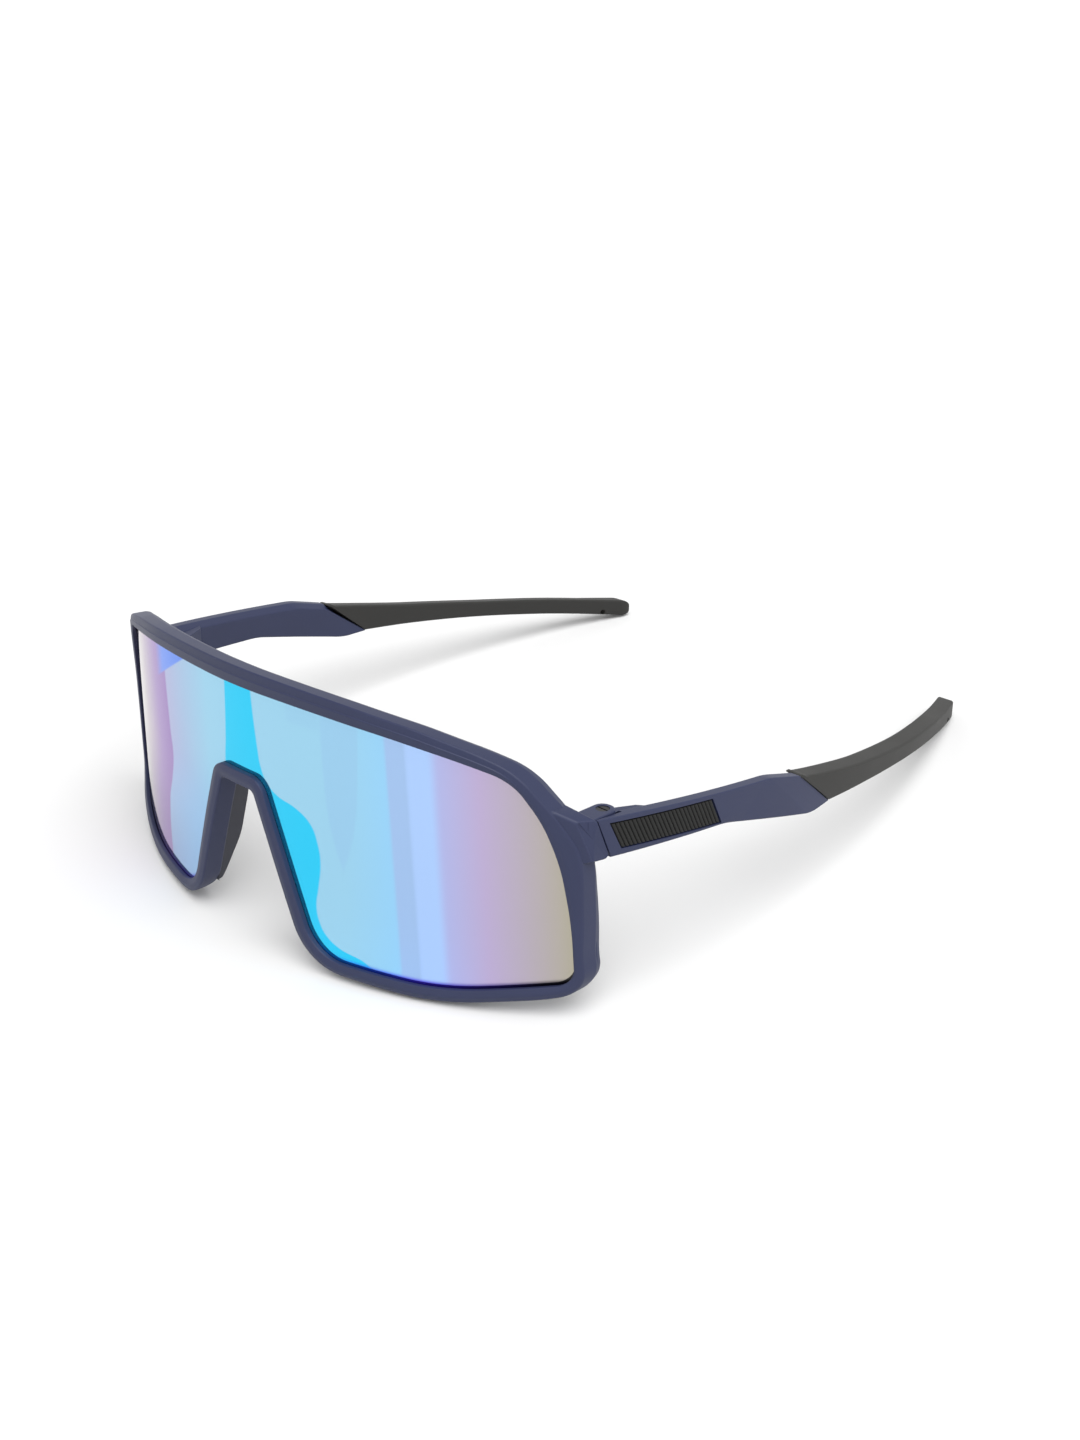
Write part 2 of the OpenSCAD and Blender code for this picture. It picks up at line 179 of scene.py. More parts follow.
def traced(corners, spacing=0.8):
    """Trace a closed outline of straight edges joined by tangent arcs.

    Returns the points [n, 2], their outward normals [n, 2], each point's share of every kind of edge
    [n, 4] and its rim width [n]. Along an arc the heading turns evenly, the share passes smoothly
    from the edge before it to the edge after it, and the width passes evenly between its two values.
    """
    xz = np.array([c[:2] for c in corners], float)
    kinds = np.eye(4)[[c[3] for c in corners]]
    edges = np.roll(xz, -1, 0) - xz
    heading = np.arctan2(edges[:, 1], edges[:, 0])
    arcs = []
    for i, (_, _, radius, _, wide_before, wide_after) in enumerate(corners):
        before = heading[i - 1]
        turn = (heading[i] - before + math.pi) % (2 * math.pi) - math.pi
        steps = int(np.ceil(max(abs(turn) * radius / spacing, abs(turn) / math.radians(7))))
        t = np.linspace(0, 1, steps + 1)
        angle = before + turn * t
        side = np.sign(turn)
        start = xz[i] - radius * math.tan(abs(turn) / 2) * np.array([math.cos(before), math.sin(before)])
        centre = start + side * radius * np.array([-math.sin(before), math.cos(before)])
        arc = centre - side * radius * np.stack([-np.sin(angle), np.cos(angle)], 1)
        ease = (t * t * (3 - 2 * t))[:, None]
        share = (1 - ease) * kinds[i - 1] + ease * kinds[i]
        arcs.append((arc, angle, share, wide_before + (wide_after - wide_before) * t))
    parts = []
    for i, arc in enumerate(arcs):
        following = arcs[(i + 1) % len(arcs)]
        a, b = arc[0][-1], following[0][0]
        steps = max(1, int(np.linalg.norm(b - a) / spacing))
        t = np.arange(1, steps) / steps
        straight = a + (b - a) * t[:, None]
        width = arc[3][-1] + (following[3][0] - arc[3][-1]) * t
        parts += [arc, (straight, np.full(len(t), heading[i]), np.repeat(kinds[i][None], len(t), 0), width)]
    outline, angle, share, width = (np.concatenate(part) for part in zip(*parts))
    width = evened(outline, width)
    return outline, np.stack([-np.sin(angle), np.cos(angle)], 1), share, width


def filleted(corners, radii, steps=4):
    """Round the corners of closed loops. corners is [n, k, dim]; radii is [k] or [n, k].

    Each corner becomes a circular arc, drawn as a rational quadratic curve whose middle weight is
    the cosine of half the turn. A corner of radius 0 stays one point.
    """
    corners = np.asarray(corners, float)
    radii = np.broadcast_to(np.asarray(radii, float), corners.shape[:2])
    columns = []
    t = np.linspace(0, 1, steps + 1)
    for k in range(corners.shape[1]):
        here = corners[:, k]
        if not radii[:, k].any():
            columns.append(here[:, None])
            continue
        back = corners[:, k - 1] - here
        ahead = corners[:, (k + 1) % corners.shape[1]] - here
        back_l = np.linalg.norm(back, axis=1, keepdims=True)
        ahead_l = np.linalg.norm(ahead, axis=1, keepdims=True)
        back, ahead = back / back_l, ahead / ahead_l
        half_turn = (math.pi - np.arccos(np.clip((back * ahead).sum(1), -1, 1))) / 2
        cut = (radii[:, k] * np.tan(half_turn))[:, None]
        cut = np.minimum(cut, 0.48 * np.minimum(back_l, ahead_l))
        weight = np.cos(half_turn)[:, None, None]
        a, b = (here + back * cut)[:, None], (here + ahead * cut)[:, None]
        wa, wp, wb = ((1 - t) ** 2)[:, None], 2 * weight * (t * (1 - t))[:, None], (t * t)[:, None]
        columns.append((wa * a + wp * here[:, None] + wb * b) / (wa + wp + wb))
    return np.concatenate(columns, 1)


def softened(at, xs, ys, reach):
    """A straight-sided line through (xs, ys), with its kinks rounded by averaging over +-reach."""
    offsets = np.linspace(-reach, reach, 15)
    lead = (ys[1] - ys[0]) / (xs[1] - xs[0])
    tail = (ys[-1] - ys[-2]) / (xs[-1] - xs[-2])
    xs = np.concatenate([[xs[0] - 50], xs, [xs[-1] + 50]])
    ys = np.concatenate([[ys[0] - 50 * lead], ys, [ys[-1] + 50 * tail]])
    return np.interp(np.asarray(at)[..., None] + offsets, xs, ys).mean(-1)


def divided(keys, spacing):
    """Rows of key values, divided evenly so that no step in the first column is longer than spacing."""
    keys = np.asarray(keys, float)
    rows = [keys[:1]]
    for a, b in zip(keys[:-1], keys[1:]):
        steps = max(1, int(np.ceil(np.abs(b - a)[:2].max() / spacing)))
        rows.append(a + (b - a) * (np.arange(1, steps + 1) / steps)[:, None])
    return np.concatenate(rows)


# ---- surfaces --------------------------------------------------------------------------------

def grid_quads(rows, columns, close_rows=False):
    """Quads between neighbouring rows of a grid whose rows are closed loops."""
    i = np.arange(rows if close_rows else rows - 1)[:, None]
    j = np.arange(columns)[None]
    after, beside = (i + 1) % rows, (j + 1) % columns
    corners = [i * columns + j, i * columns + beside, after * columns + beside, after * columns + j]
    return np.stack(np.broadcast_arrays(*corners), -1).reshape(-1, 4)


def outward(points, quads, fans):
    """Flip every face if the signed volume, the sum of corner triple products over 6, is negative."""
    def volume(tris):
        """The triangles' share of the signed volume."""
        a, b, c = points[tris[:, 0]], points[tris[:, 1]], points[tris[:, 2]]
        return np.einsum("ij,ij->", a, np.cross(b, c)) / 6
    total = volume(quads[:, :3]) + volume(quads[:, [0, 2, 3]]) + (volume(fans) if len(fans) else 0)
    return (quads, fans) if total > 0 else (quads[:, ::-1], fans[:, ::-1])


def lofted(loops, ring=False):
    """The closed surface through a stack of closed loops [n, m, 3]: a ring, or capped with two fans."""
    n, m = loops.shape[:2]
    points = loops.reshape(-1, 3)
    quads = grid_quads(n, m, ring)
    fans = np.zeros((0, 3), int)
    if not ring:
        ends = loops[[0, -1]].mean(1)
        j = np.arange(m)
        first = np.stack([(j + 1) % m, j, np.full(m, n * m)], 1)
        last = np.stack([(n - 1) * m + j, (n - 1) * m + (j + 1) % m, np.full(m, n * m + 1)], 1)
        points, fans = np.concatenate([points, ends]), np.concatenate([first, last])
    return (points, *outward(points, quads, fans))


def round_ended(loops, start=0.0, end=0.0, steps=4):
    """Round the two end edges of a stack of loops: near an end each loop moves in along a quarter circle."""
    def rounded(first, second, radius):
        """The end loop drawn again at each step of the quarter circle toward its neighbour."""
        along = second.mean(0) - first.mean(0)
        along = along / np.linalg.norm(along)
        tangent = np.roll(first, -1, 0) - np.roll(first, 1, 0)
        inward = np.cross(tangent, along)
        inward /= np.linalg.norm(inward, axis=1, keepdims=True) + 1e-12
        if ((first.mean(0) - first) * inward).sum() < 0:
            inward = -inward
        angle = np.linspace(math.pi / 2, 0, steps + 1)[:, None, None]
        step = (second - first) / np.linalg.norm(second - first, axis=1, keepdims=True)
        return first + radius * ((1 - np.sin(angle)) * step + (1 - np.cos(angle)) * inward)
    parts = [rounded(loops[0], loops[1], start)] if start else [loops[:1]]
    parts.append(loops[1:-1])
    parts.append(rounded(loops[-1], loops[-2], end)[::-1] if end else loops[-1:])
    return np.concatenate(parts)


def slab(corners, radii, low, high, edge):
    """An upright slab of a rounded [x, y] outline between two heights, with its edges rounded."""
    ring = filleted(np.array([corners], float), radii, 8)[0]
    levels = np.linspace(low, high, 4)
    heights = np.repeat(levels[:, None, None], len(ring), 1)
    loops = np.concatenate([np.repeat(ring[None], len(levels), 0), heights], 2)
    return lofted(round_ended(loops, edge, edge))


def rod(centre, axis, radius, low, high, sides=40):
    """A plain rod about an axis through centre, from low to high along it; axis is 0 for x, 2 for z."""
    a = np.arange(sides) * 2 * math.pi / sides
    loops = np.zeros((2, sides, 3))
    others = [k for k in range(3) if k != axis]
    loops[..., others[0]] = centre[others[0]] + radius * np.cos(a)
    loops[..., others[1]] = centre[others[1]] + radius * np.sin(a)
    loops[..., axis] = np.array([low, high])[:, None]
    return lofted(loops)


def mirrored(surface, sign):
    """The surface itself, or its mirror image about the nose with the faces turned back outwards."""
    points, quads, fans = surface
    if sign > 0:
        return surface
    return points * [-1, 1, 1], quads[:, ::-1], fans[:, ::-1]


def mesh_object(name, surface):
    """A Blender object from worn points, quads and triangles, settled into the model's frame."""
    points, quads, fans = surface
    mesh = bpy.data.meshes.new(name)
    faces = [tuple(q) for q in quads.tolist()] + [tuple(t) for t in fans.tolist()]
    mesh.from_pydata(settled(points).tolist(), [], faces)
    mesh.update()
    piece = bpy.data.objects.new(name, mesh)
    bpy.context.scene.collection.objects.link(piece)
    return piece


def add_uv(piece, name, values):
    """A UV map whose value at each corner is that of its vertex; values are [rows, columns, 2]."""
    mesh = piece.data
    flat = np.concatenate([values.reshape(-1, 2), values[[0, -1]].mean(1)])
    corners = np.zeros(len(mesh.loops), np.int32)
    mesh.loops.foreach_get("vertex_index", corners)
    layer = mesh.uv_layers.new(name=name)
    layer.uv.foreach_set("vector", flat[corners].ravel().astype(np.float32))


def carved(piece, steps):
    """Join or cut solids in turn: steps are (operation, surface), and each is applied to the mesh."""
    for number, (operation, surface) in enumerate(steps):
        tool = mesh_object(f"tool_{number}", surface)
        change = piece.modifiers.new("change", "BOOLEAN")
        change.operation = operation
        change.solver = "MANIFOLD"
        change.object = tool
        graph = bpy.context.evaluated_depsgraph_get()
        mesh = bpy.data.meshes.new_from_object(piece.evaluated_get(graph))
        piece.modifiers.clear()
        old, piece.data = piece.data, mesh
        bpy.data.meshes.remove(old)
        bpy.data.objects.remove(tool)
    return piece


def dressed(piece, material, body, node, angle=32):
    """Smooth shading up to an angle, a finish, and the piece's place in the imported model."""
    piece.data.name = piece.name
    piece.data.shade_smooth()
    piece.data.set_sharp_from_angle(angle=math.radians(angle))
    shading = piece.modifiers.new("shading", "WEIGHTED_NORMAL")
    shading.keep_sharp = True
    piece.data.materials.clear()
    piece.data.materials.append(material)
    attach(piece, body)
    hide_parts(node)
    return piece


# ---- finishes --------------------------------------------------------------------------------

def display_to_linear(value):
    """Display value from 0 to 255 to scene light, by the standard curve."""
    c = np.asarray(value, float) / 255
    return np.where(c <= 0.04045, c / 12.92, ((c + 0.055) / 1.055) ** 2.4)


def share_of(value, span):
    """How far a value lies along a span, from 0 to 1."""
    return (value - span[0]) / (span[1] - span[0])


class Painter:
    """Short names for the nodes of one tree."""

    def __init__(self, tree):
        """Keep the tree's nodes and links at hand."""
        self.nodes, self.links = tree.nodes, tree.links

    def fill(self, socket, value):
        """Set a socket to a number, or link another socket to it."""
        if isinstance(value, (int, float)):
            socket.default_value = value
        else:
            self.links.new(value, socket)

    def math(self, operation, a, b=0.0, c=0.0):
        """A Math node on up to three values."""
        node = self.nodes.new("ShaderNodeMath")
        node.operation = operation
        for socket, value in zip(node.inputs, (a, b, c)):
            self.fill(socket, value)
        return node.outputs[0]

    def product(self, first, *others):
        """Several values multiplied together."""
        for value in others:
            first = self.math("MULTIPLY", first, value)
        return first

    def share(self, value, span):
        """How far a value lies along a span, from 0 to 1."""
        low, high = span
        return self.math("MULTIPLY_ADD", value, 1 / (high - low), -low / (high - low))

    def step(self, value, low, high, to_low=0.0, to_high=1.0):
        """A smooth step on a value."""
        node = self.nodes.new("ShaderNodeMapRange")
        node.interpolation_type = "SMOOTHSTEP"
        for socket, number in zip(node.inputs, (value, low, high, to_low, to_high)):
            self.fill(socket, number)
        return node.outputs["Result"]

    def curve(self, value, stops, span, reach):
        """A curve through (value, result) stops; values lie in a span and results within +-reach."""
        node = self.nodes.new("ShaderNodeFloatCurve")
        self.fill(node.inputs["Value"], self.share(value, span))
        curve = node.mapping.curves[0]
        for number, (at, result) in enumerate(stops):
            place = (share_of(at, span), 0.5 + result / (2 * reach))
            if number < 2:
                curve.points[number].location = place
            else:
                curve.points.new(*place)
        node.mapping.update()
        return self.math("MULTIPLY_ADD", node.outputs["Value"], 2 * reach, -reach)

    def ramp(self, value, stops, span):
        """A colour ramp through (value, red, green, blue) stops in display values."""
        node = self.nodes.new("ShaderNodeValToRGB")
        elements = node.color_ramp.elements
        while len(elements) < len(stops):
            elements.new(0.5)
        for number, (at, *colour) in enumerate(sorted(stops)):
            elements[number].position = share_of(at, span)
            elements[number].color = (*display_to_linear(colour), 1)
        self.fill(node.inputs["Fac"], self.share(value, span))
        return node.outputs["Color"]

    def mix(self, factor, a, b):
        """Two colours mixed; a colour is a socket or display values."""
        node = self.nodes.new("ShaderNodeMix")
        node.data_type = "RGBA"
        self.fill(node.inputs["Factor"], factor)
        for socket, colour in zip((node.inputs["A"], node.inputs["B"]), (a, b)):
            if isinstance(colour, tuple):
                socket.default_value = (*display_to_linear(colour), 1)
            else:
                self.links.new(colour, socket)
        return node.outputs["Result"]


GRAIN_INPUTS = (
    ("Colour", "NodeSocketColor", (0.1, 0.1, 0.1, 1)),
    ("Shade", "NodeSocketFloat", 0.1),
    ("Roughness", "NodeSocketFloat", 0.5),
    ("Mottle Scale", "NodeSocketFloat", 60.0),
    ("Grain Scale", "NodeSocketFloat", 4000.0),
)
GRAIN_OUTPUTS = (
    ("Colour", "NodeSocketColor"),
    ("Roughness", "NodeSocketFloat"),
    ("Height", "NodeSocketFloat"),
)


def grain_group():
    """Moulded grain: a fine noise for the surface height and a broad one for colour and roughness."""
    if "moulded_grain" in bpy.data.node_groups:
        return bpy.data.node_groups["moulded_grain"]
    group = bpy.data.node_groups.new("moulded_grain", "ShaderNodeTree")
    for name, kind, default in GRAIN_INPUTS:
        socket = group.interface.new_socket(name, in_out="INPUT", socket_type=kind)
        socket.default_value = default
    for name, kind in GRAIN_OUTPUTS:
        group.interface.new_socket(name, in_out="OUTPUT", socket_type=kind)
    paint = Painter(group)
    entry, leave = paint.nodes.new("NodeGroupInput").outputs, paint.nodes.new("NodeGroupOutput").inputs
    place = paint.nodes.new("ShaderNodeTexCoord").outputs["Object"]
    noises = []
    for scale, detail in (("Mottle Scale", 3.0), ("Grain Scale", 2.0)):
        noise = paint.nodes.new("ShaderNodeTexNoise")
        for name, value in (("Vector", place), ("Scale", entry[scale]), ("Detail", detail)):
            paint.fill(noise.inputs[name], value)
        noises.append(noise.outputs["Fac"])
    mottle, grain = noises
    amount = paint.math("MULTIPLY_ADD", paint.math("SUBTRACT", mottle, 0.5), entry["Shade"], 1.0)
    tinted = paint.nodes.new("ShaderNodeVectorMath")
    tinted.operation = "SCALE"
    paint.fill(tinted.inputs[0], entry["Colour"])
    paint.fill(tinted.inputs["Scale"], amount)
    paint.fill(leave["Colour"], tinted.outputs[0])
    paint.fill(leave["Roughness"], paint.product(entry["Roughness"], amount))
    paint.fill(leave["Height"], grain)
    return group


def moulded(name, colour, roughness, depth=0.00002, shade=0.25, grain=4000.0, specular=0.33):
    """A moulded plastic or rubber: grain in the surface, and a slight mottle in colour and roughness."""
    material = bpy.data.materials.new(name)
    material.use_nodes = True
    paint = Painter(material.node_tree)
    surface = paint.nodes["Principled BSDF"].inputs
    surface["Specular IOR Level"].default_value = specular
    grained = paint.nodes.new("ShaderNodeGroup")
    grained.node_tree = grain_group()
    grained.inputs["Colour"].default_value = (*colour, 1)
    bump = paint.nodes.new("ShaderNodeBump")
    for socket, value in (
        (grained.inputs["Shade"], shade),
        (grained.inputs["Roughness"], roughness),
        (grained.inputs["Grain Scale"], grain),
        (bump.inputs["Distance"], depth),
        (bump.inputs["Strength"], 0.6),
        (bump.inputs["Height"], grained.outputs["Height"]),
        (surface["Base Color"], grained.outputs["Colour"]),
        (surface["Roughness"], grained.outputs["Roughness"]),
        (surface["Normal"], bump.outputs["Normal"]),
    ):
        paint.fill(socket, value)
    return material


# The spans in mm that the lens's UV maps stand for: across, up, and over its lower edge
SPAN_X, SPAN_Z, SPAN_RISE = (-66, 66), (-40, 20), (0, 10)
# The coating's tints and the painted reflections over them, as display values: the haze and sky tones are the
# tint paled by a painted reflection of a pale panel, and the shade and glint tones are painted darker and
# brighter reflection strips
PEARL = (165, 150, 155)
VIOLET = (145, 110, 180)
PANEL_REFLECTION_HAZE = (165, 170, 210)
PANEL_REFLECTION_SKY = (155, 205, 230)
AZURE = (150, 205, 240)
# Painted reflections: a darker strip, then a brighter strip
REFLECTED_SHADE_STRIP = (160, 190, 230)
REFLECTED_GLINT_STRIP = (170, 200, 245)
LILAC = (175, 180, 225)
MAUVE = (185, 170, 205)
SAND = (175, 170, 150)
# Painted reflections: the reflected panel bluer low down, a bluer corner, a dim blade and a dim patch under
# the brow
DEEPER, REFLECTED_CORNER_BLUE, REFLECTED_BLADE_DIM, REFLECTED_PATCH_DIM = (142, 186, 228), (92, 138, 236), (152, 198, 229), (152, 200, 228)
# Painted reflection: the bright saturated band
REFLECTION_BAND_COLOUR = (50, 200, 240)
# The coating's tints across the lens, with painted reflections of a pale panel and of a darker and a brighter
# strip, as (x in mm, red, green, blue)
TINTS_AND_REFLECTIONS = [
    (-60, *PEARL), (-47, *PEARL), (-34, *VIOLET), (-27.5, *VIOLET), (-27.3, *PANEL_REFLECTION_HAZE), (-10, *PANEL_REFLECTION_SKY),
    (25, *PANEL_REFLECTION_SKY), (34, *AZURE), (34.2, *REFLECTED_SHADE_STRIP), (38, *REFLECTED_SHADE_STRIP), (38.2, *REFLECTED_GLINT_STRIP), (42, *REFLECTED_GLINT_STRIP),
    (43.5, *LILAC), (50, *MAUVE), (63, *SAND),
]
# A painted reflection of the rim's lower lip: a thin deep line along the lower edge, in the same way
REFLECTED_LOWER_LINE = [
    (-46, 60, 50, 90), (-34, 140, 105, 210), (-20, 80, 90, 215), (8, 25, 165, 240), (20, 35, 165, 245),
    (30, 50, 105, 240), (40, 85, 60, 225), (50, 65, 42, 150), (60, 30, 28, 40),
]
# Where the edge of the painted reflected panel and the two edges of the bright painted reflection band run, as
# (z, x)
REFLECTED_PANEL_EDGE = [(-40, -31.5), (-23, -31), (-17, -28.4), (-12, -26.9), (-6, -27.5), (20, -28.6)]
REFLECTION_BAND_LEFT = [(-40, -5.0), (-4, -4.5), (0, -4), (20, -3.1)]
REFLECTION_BAND_RIGHT = [
    (-40, 34), (-35.5, 29), (-34.4, 24), (-32.5, 20.8), (-30, 19.3), (-27, 18.8), (-23, 19.5), (-18, 20.2),
    (-14.5, 19.8), (-10.5, 18), (-8.4, 14.4), (-7.5, 10.5), (-5.6, 7.6), (-3, 6.2), (0, 5.6), (20, 4),
]
# The painted reflection of a dim blade under the brow: where it hangs, and its half width as (z, width)
BLADE_X = 25.3
BLADE = [(-40, -3), (-18.5, 0), (-14, 1.5), (-8, 2.9), (0, 3.6), (20, 3.9)]
# Half the width over which an edge fades, in mm
FADE = 0.25


def lens_place(paint, uv_map, axis, span):
    """A place in mm, from the part of a UV map that holds it as a share of its span."""
    uv, parts = paint.nodes.new("ShaderNodeUVMap"), paint.nodes.new("ShaderNodeSeparateXYZ")
    uv.uv_map = uv_map
    paint.links.new(uv.outputs["UV"], parts.inputs["Vector"])
    low, high = span
    return paint.math("MULTIPLY_ADD", parts.outputs[axis], high - low, low)


def panels(paint, x, z):
    """The coating's tints with painted reflections of a pale panel and of slanted strips, read at x moved so
    that the panel's edge and the slanted bands are straight.

    Left of the nose the painted reflected panel turns bluer downwards.
    """
    stray = paint.math("ADD", paint.curve(z, REFLECTED_PANEL_EDGE, SPAN_Z, 40), 27.45)
    stray = paint.product(stray, paint.step(x, -20.0, -12.0, 1.0, 0.0))
    slant = paint.product(paint.math("MULTIPLY_ADD", z, -0.05, 0.5), paint.step(x, 20.0, 33.0))
    across = paint.math("SUBTRACT", paint.math("SUBTRACT", x, stray), slant)
    low = paint.product(
        paint.step(z, -24.0, -4.0, 1.0, 0.0),
        paint.step(across, -27.6, -27.2),
        paint.step(x, -6.0, -3.0, 1.0, 0.0),
        0.7,
    )
    return paint.mix(low, paint.ramp(across, TINTS_AND_REFLECTIONS, SPAN_X), DEEPER)


def reflected_corner_mask(paint, x, z):
    """A painted reflection: the bluer corner over the left panel, above a slanted line."""
    over = paint.math("SUBTRACT", z, paint.math("MULTIPLY_ADD", x, 0.56, 21.3))
    return paint.product(
        paint.step(over, -0.2, 0.3),
        paint.step(x, -34.0, -28.5),
        paint.step(x, -12.0, -10.0, 1.0, 0.0),
    )


def reflected_blade_mask(paint, x, z):
    """A painted reflection: the dim blade that comes down from the brow to a point, within its half width of
    its middle.
    """
    off = paint.math("ABSOLUTE", paint.math("SUBTRACT", x, BLADE_X))
    past = paint.math("SUBTRACT", off, paint.curve(z, BLADE, SPAN_Z, 8))
    return paint.product(paint.step(past, -FADE, FADE, 1.0, 0.0), 0.85)


def reflected_patch_mask(paint, x, z):
    """A painted reflection: the dim patch beside the blade, a rectangle under the brow."""
    return paint.product(
        paint.step(z, 7.6, 8.4),
        paint.step(x, 12.8, 14.2),
        paint.step(x, 20.5, 21.6, 1.0, 0.0),
        0.7,
    )


def reflection_band_mask(paint, x, z):
    """A painted reflection: the bright band, between its left and its right edge."""
    right = paint.math("SUBTRACT", x, paint.curve(z, REFLECTION_BAND_RIGHT, SPAN_Z, 40))
    left = paint.math("SUBTRACT", x, paint.curve(z, REFLECTION_BAND_LEFT, SPAN_Z, 40))
    return paint.product(paint.step(right, -FADE, FADE, 1.0, 0.0), paint.step(left, -FADE, FADE))


def reflected_line_mask(paint, above, z):
    """A painted reflection of the rim's lower lip: the deep line along the lower edge, left out beside the
    nose.
    """
    return paint.product(paint.step(above, 1.6, 2.6, 1.0, 0.0), paint.step(z, -32.0, -30.0, 1.0, 0.0))


def coating_with_painted_reflections():
    """The lens's front: a metallic coating whose tints run across the lens, with painted reflections over them
    in panels and bands.
    """
    material = bpy.data.materials.new("coating_with_painted_reflections")
    material.use_nodes = True
    paint = Painter(material.node_tree)
    surface = paint.nodes["Principled BSDF"].inputs
    surface["Metallic"].default_value = 0.92
    surface["Roughness"].default_value = 0.06
    x = lens_place(paint, "face", "X", SPAN_X)
    z = lens_place(paint, "face", "Y", SPAN_Z)
    above = lens_place(paint, "rise", "Y", SPAN_RISE)
    colour = panels(paint, x, z)
    # Painted reflections over the coating's tints: a bluer corner, a dim blade, a dim patch, the bright band
    # and the line of the rim's lower lip
    colour = paint.mix(reflected_corner_mask(paint, x, z), colour, REFLECTED_CORNER_BLUE)
    colour = paint.mix(reflected_blade_mask(paint, x, z), colour, REFLECTED_BLADE_DIM)
    colour = paint.mix(reflected_patch_mask(paint, x, z), colour, REFLECTED_PATCH_DIM)
    colour = paint.mix(reflection_band_mask(paint, x, z), colour, REFLECTION_BAND_COLOUR)
    colour = paint.mix(reflected_line_mask(paint, above, z), colour, paint.ramp(x, REFLECTED_LOWER_LINE, SPAN_X))
    paint.links.new(colour, surface["Base Color"])
    return material


def finish(name):
    """The material of that name, made once from the user's colours."""
    if name in bpy.data.materials:
        return bpy.data.materials[name]
    colours = bpy.context.scene.sunglasses_finishes
    made = {
        "navy_nylon": lambda: moulded("navy_nylon", colours.navy, 0.47),
        "soft_tip": lambda: moulded("soft_tip", colours.soft, 0.55, shade=0.3),
        "ribbed_grip": lambda: moulded("ribbed_grip", colours.grip, 0.6, shade=0.3),
        "soft_pad": lambda: moulded("soft_pad", colours.pad, 0.6, shade=0.3),
        "smoke_back": lambda: moulded("smoke_back", (0.012, 0.013, 0.016), 0.12, 0.0, 0.2, 200.0, 0.6),
        "coating_with_painted_reflections": coating_with_painted_reflections,
        "turned_steel": lambda: moulded("turned_steel", (0.05, 0.05, 0.055), 0.4, shade=0.4, grain=2500.0),
        "turned_brass": lambda: moulded("turned_brass", (0.5, 0.36, 0.13), 0.35, shade=0.4, grain=2500.0),
    }[name]()
    if name.startswith("turned"):
        made.node_tree.nodes["Principled BSDF"].inputs["Metallic"].default_value = 1
    return made


# ---- the front -------------------------------------------------------------------------------

# Sections of the rim for each kind of edge: (out from the opening, forward of the lens, radius)
GROOVE = [(0, -2.06, 0.1), (1.4, -2.06, 0.1), (1.4, 0.06, 0.1)]
RIM_SECTIONS = {
    BROW: [(0, 0.06, 0.1), (0, 0.95, 0.3), (0.53, 1.28, 0.25), (0.57, 1.12, 0.12), (1, 0.95, 0.3),
           (0.91, -1.9, 1.0), (0.72, -3.25, 0.9), (0, -3.25, 0.4)],
    SIDE: [(0, 0.06, 0.1), (0, 0.9, 0.3), (0.35, 1.2, 0.4), (0.5, 1.2, 0.2), (1, 1.15, 0.35),
           (1, -1.45, 0.7), (0.6, -3.25, 0.5), (0, -3.25, 0.4)],
    SILL: [(0, 0.06, 0.1), (0, 0.9, 0.3), (0.45, 1.25, 0.4), (0.6, 1.25, 0.2), (1, 0.95, 0.6),
           (1, -1.4, 0.6), (0.8, -3.25, 0.8), (0, -3.25, 0.4)],
    NOSE: [(0, 0.06, 0.1), (0, 1.1, 0.25), (0.4, 1.35, 0.4), (0.55, 1.35, 0.2), (1, 1.15, 0.5),
           (1, -1.4, 0.5), (1, -3.25, 0.5), (0, -3.25, 0.4)],
}


def on_lens_arc(x, z, forward, radius):
    """Points over the lens: forward is measured from its front face, along its radius."""
    return np.stack([x, radius - np.sqrt((radius + forward) ** 2 - x ** 2), z], -1)


def rim_surface():
    """The rim's section carried round the opening; its width and shape ease from side to side."""
    rim, lens = bpy.context.scene.sunglasses_rim, bpy.context.scene.sunglasses_lens
    outline, normal, share, widths = traced(whole_opening())
    table = np.array([RIM_SECTIONS[kind] for kind in (BROW, SIDE, SILL, NOSE)])
    corners = np.einsum("nk,kcv->ncv", share, table)
    corners[..., 0] *= rim.fullness * widths[:, None]
    groove = np.repeat(np.array(GROOVE)[None], len(corners), 0)
    corners = np.concatenate([corners, groove], 1)
    section = filleted(corners[..., :2], corners[..., 2], 3)
    out, forward = section[..., 0], section[..., 1]
    x = outline[:, :1] + normal[:, :1] * out
    z = outline[:, 1:] + normal[:, 1:] * out
    return lofted(on_lens_arc(x, z, forward, lens.radius), ring=True)


# The end piece between the rim and the temple, as its corners from the crease in front round to the foot
END_INNER = [(61.1, 17.9, 1.3), (61.2, 22.5, 0.7), (63.6, 24.0, -9.3), (63.6, 19.5, -9.3)]
END_OUTER = [(65.3, 20.5, -0.7), (66.8, 24.15, -0.95), (67.25, 27.25, -8.9), (67.35, 22.7, -8.1)]
LUG_RADIUS = 2.1
LUG_TOP, LUG_FOOT = -1.0, -8.8
UPPER_LUG, MIDDLE_LUG, LOWER_LUG = (-2.9, LUG_TOP), (-6.15, -3.05), (LUG_FOOT, -6.3)
SCREW_HEAD_RADIUS, SCREW_HEAD_DEPTH, BORE_RADIUS = 1.25, 0.9, 0.75


def end_piece():
    """A block lofted from inside the rim out to the slanted facet in front of the temple."""
    share = np.linspace(0, 1, 9)[:, None, None]
    loops = (1 - share) * np.array(END_INNER) + share * np.array(END_OUTER)
    return lofted(round_ended(filleted(loops, [0.5, 0.8, 0.8, 0.5], 4), 0, 0.3))


